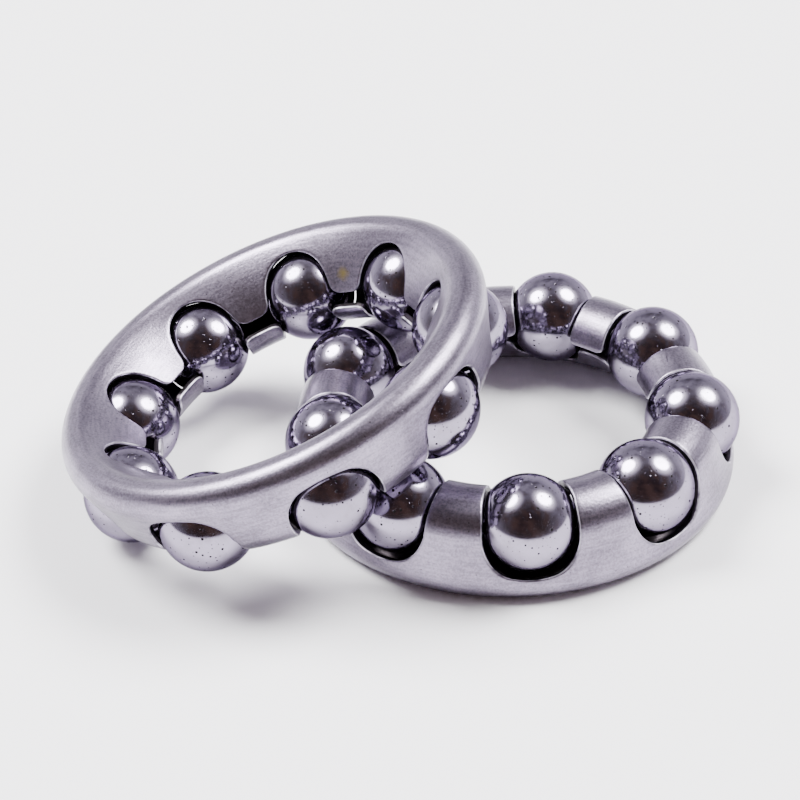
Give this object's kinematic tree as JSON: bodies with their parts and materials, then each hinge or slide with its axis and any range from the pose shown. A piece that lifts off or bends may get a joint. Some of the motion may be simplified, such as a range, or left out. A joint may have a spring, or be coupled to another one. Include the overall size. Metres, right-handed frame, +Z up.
{
  "type": "caged ball bearing pair",
  "caption": "Caged ball bearings: pressed-steel retainers that hold rolling balls, with one ring lying flat and another leaning over it.",
  "frame": {"origin": "middle of the pair's box, on the surface that it rests on", "axes": "+Z up, away from the surface; +X from the leaning ring towards the flat ring"},
  "size_m": [0.0452, 0.0316, 0.0162],
  "materials": {
    "cage_steel": "satin, faintly grained pressed steel",
    "ball_steel": "polished, with small pits and scratches"
  },
  "bodies": {
    "flat_ring": {"flat_ring_cage": "cage_steel"},
    "leaning_ring": {"leaning_ring_cage": "cage_steel"},
    "flat_ring_ball_1": {"flat_ring_ball_1": "ball_steel"},
    "flat_ring_ball_2": {"flat_ring_ball_2": "ball_steel"},
    "flat_ring_ball_3": {"flat_ring_ball_3": "ball_steel"},
    "flat_ring_ball_4": {"flat_ring_ball_4": "ball_steel"},
    "flat_ring_ball_5": {"flat_ring_ball_5": "ball_steel"},
    "flat_ring_ball_6": {"flat_ring_ball_6": "ball_steel"},
    "flat_ring_ball_7": {"flat_ring_ball_7": "ball_steel"},
    "flat_ring_ball_8": {"flat_ring_ball_8": "ball_steel"},
    "flat_ring_ball_9": {"flat_ring_ball_9": "ball_steel"},
    "leaning_ring_ball_1": {"leaning_ring_ball_1": "ball_steel"},
    "leaning_ring_ball_2": {"leaning_ring_ball_2": "ball_steel"},
    "leaning_ring_ball_3": {"leaning_ring_ball_3": "ball_steel"},
    "leaning_ring_ball_4": {"leaning_ring_ball_4": "ball_steel"},
    "leaning_ring_ball_5": {"leaning_ring_ball_5": "ball_steel"},
    "leaning_ring_ball_6": {"leaning_ring_ball_6": "ball_steel"},
    "leaning_ring_ball_7": {"leaning_ring_ball_7": "ball_steel"},
    "leaning_ring_ball_8": {"leaning_ring_ball_8": "ball_steel"},
    "leaning_ring_ball_9": {"leaning_ring_ball_9": "ball_steel"}
  },
  "joints": [
    {"name": "leaning_ring_lift", "type": "slide", "parent": "flat_ring", "child": "leaning_ring", "axis": [0, 0, 1], "range_m": [0, 0.025]},
    {"name": "flat_ring_ball_1_roll", "type": "hinge", "parent": "flat_ring", "child": "flat_ring_ball_1", "pos_m": [0.01077, 0.01244, 0.00437], "axis": [0.2024, 0.6775, -0.7071], "continuous": true},
    {"name": "flat_ring_ball_2_roll", "type": "hinge", "parent": "flat_ring", "child": "flat_ring_ball_2", "pos_m": [0.01747, 0.00745, 0.00437], "axis": [0.5905, 0.3889, -0.7071], "continuous": true},
    {"name": "flat_ring_ball_3_roll", "type": "hinge", "parent": "flat_ring", "child": "flat_ring_ball_3", "pos_m": [0.01941, -0.00068, 0.00437], "axis": [0.7024, -0.0816, -0.7071], "continuous": true},
    {"name": "flat_ring_ball_4_roll", "type": "hinge", "parent": "flat_ring", "child": "flat_ring_ball_4", "pos_m": [0.01566, -0.00815, 0.00437], "axis": [0.4856, -0.514, -0.7071], "continuous": true},
    {"name": "flat_ring_ball_5_roll", "type": "hinge", "parent": "flat_ring", "child": "flat_ring_ball_5", "pos_m": [0.00799, -0.01146, 0.00437], "axis": [0.0416, -0.7059, -0.7071], "continuous": true},
    {"name": "flat_ring_ball_6_roll", "type": "hinge", "parent": "flat_ring", "child": "flat_ring_ball_6", "pos_m": [-0.00002, -0.00907, 0.00437], "axis": [-0.4219, -0.5675, -0.7071], "continuous": true},
    {"name": "flat_ring_ball_7_roll", "type": "hinge", "parent": "flat_ring", "child": "flat_ring_ball_7", "pos_m": [-0.00462, -0.00209, 0.00437], "axis": [-0.6879, -0.1635, -0.7071], "continuous": true},
    {"name": "flat_ring_ball_8_roll", "type": "hinge", "parent": "flat_ring", "child": "flat_ring_ball_8", "pos_m": [-0.00365, 0.00621, 0.00437], "axis": [-0.6321, 0.3169, -0.7071], "continuous": true},
    {"name": "flat_ring_ball_9_roll", "type": "hinge", "parent": "flat_ring", "child": "flat_ring_ball_9", "pos_m": [0.00242, 0.01195, 0.00437], "axis": [-0.2805, 0.6491, -0.7071], "continuous": true},
    {"name": "leaning_ring_ball_1_roll", "type": "hinge", "parent": "leaning_ring", "child": "leaning_ring_ball_1", "pos_m": [-0.01218, -0.01187, 0.0056], "axis": [-0.5242, -0.6362, 0.566], "continuous": true},
    {"name": "leaning_ring_ball_2_roll", "type": "hinge", "parent": "leaning_ring", "child": "leaning_ring_ball_2", "pos_m": [-0.00437, -0.01257, 0.00848], "axis": [-0.0719, -0.6768, 0.7326], "continuous": true},
    {"name": "leaning_ring_ball_3_roll", "type": "hinge", "parent": "leaning_ring", "child": "leaning_ring_ball_3", "pos_m": [0.00206, -0.00776, 0.01081], "axis": [0.2998, -0.3981, 0.867], "continuous": true},
    {"name": "leaning_ring_ball_4_roll", "type": "hinge", "parent": "leaning_ring", "child": "leaning_ring_ball_4", "pos_m": [0.00408, 0.00032, 0.01148], "axis": [0.4171, 0.0695, 0.9062], "continuous": true},
    {"name": "leaning_ring_ball_5_roll", "type": "hinge", "parent": "leaning_ring", "child": "leaning_ring_ball_5", "pos_m": [0.00077, 0.00789, 0.0102], "axis": [0.2251, 0.5072, 0.8319], "continuous": true},
    {"name": "leaning_ring_ball_6_roll", "type": "hinge", "parent": "leaning_ring", "child": "leaning_ring_ball_6", "pos_m": [-0.00635, 0.01139, 0.00756], "axis": [-0.1864, 0.7102, 0.6789], "continuous": true},
    {"name": "leaning_ring_ball_7_roll", "type": "hinge", "parent": "leaning_ring", "child": "leaning_ring_ball_7", "pos_m": [-0.01392, 0.0092, 0.00479], "axis": [-0.6249, 0.5834, 0.5188], "continuous": true},
    {"name": "leaning_ring_ball_8_roll", "type": "hinge", "parent": "leaning_ring", "child": "leaning_ring_ball_8", "pos_m": [-0.01842, 0.00234, 0.00319], "axis": [-0.8851, 0.1863, 0.4264], "continuous": true},
    {"name": "leaning_ring_ball_9_roll", "type": "hinge", "parent": "leaning_ring", "child": "leaning_ring_ball_9", "pos_m": [-0.01773, -0.00598, 0.00351], "axis": [-0.8454, -0.2954, 0.4451], "continuous": true}
  ]
}
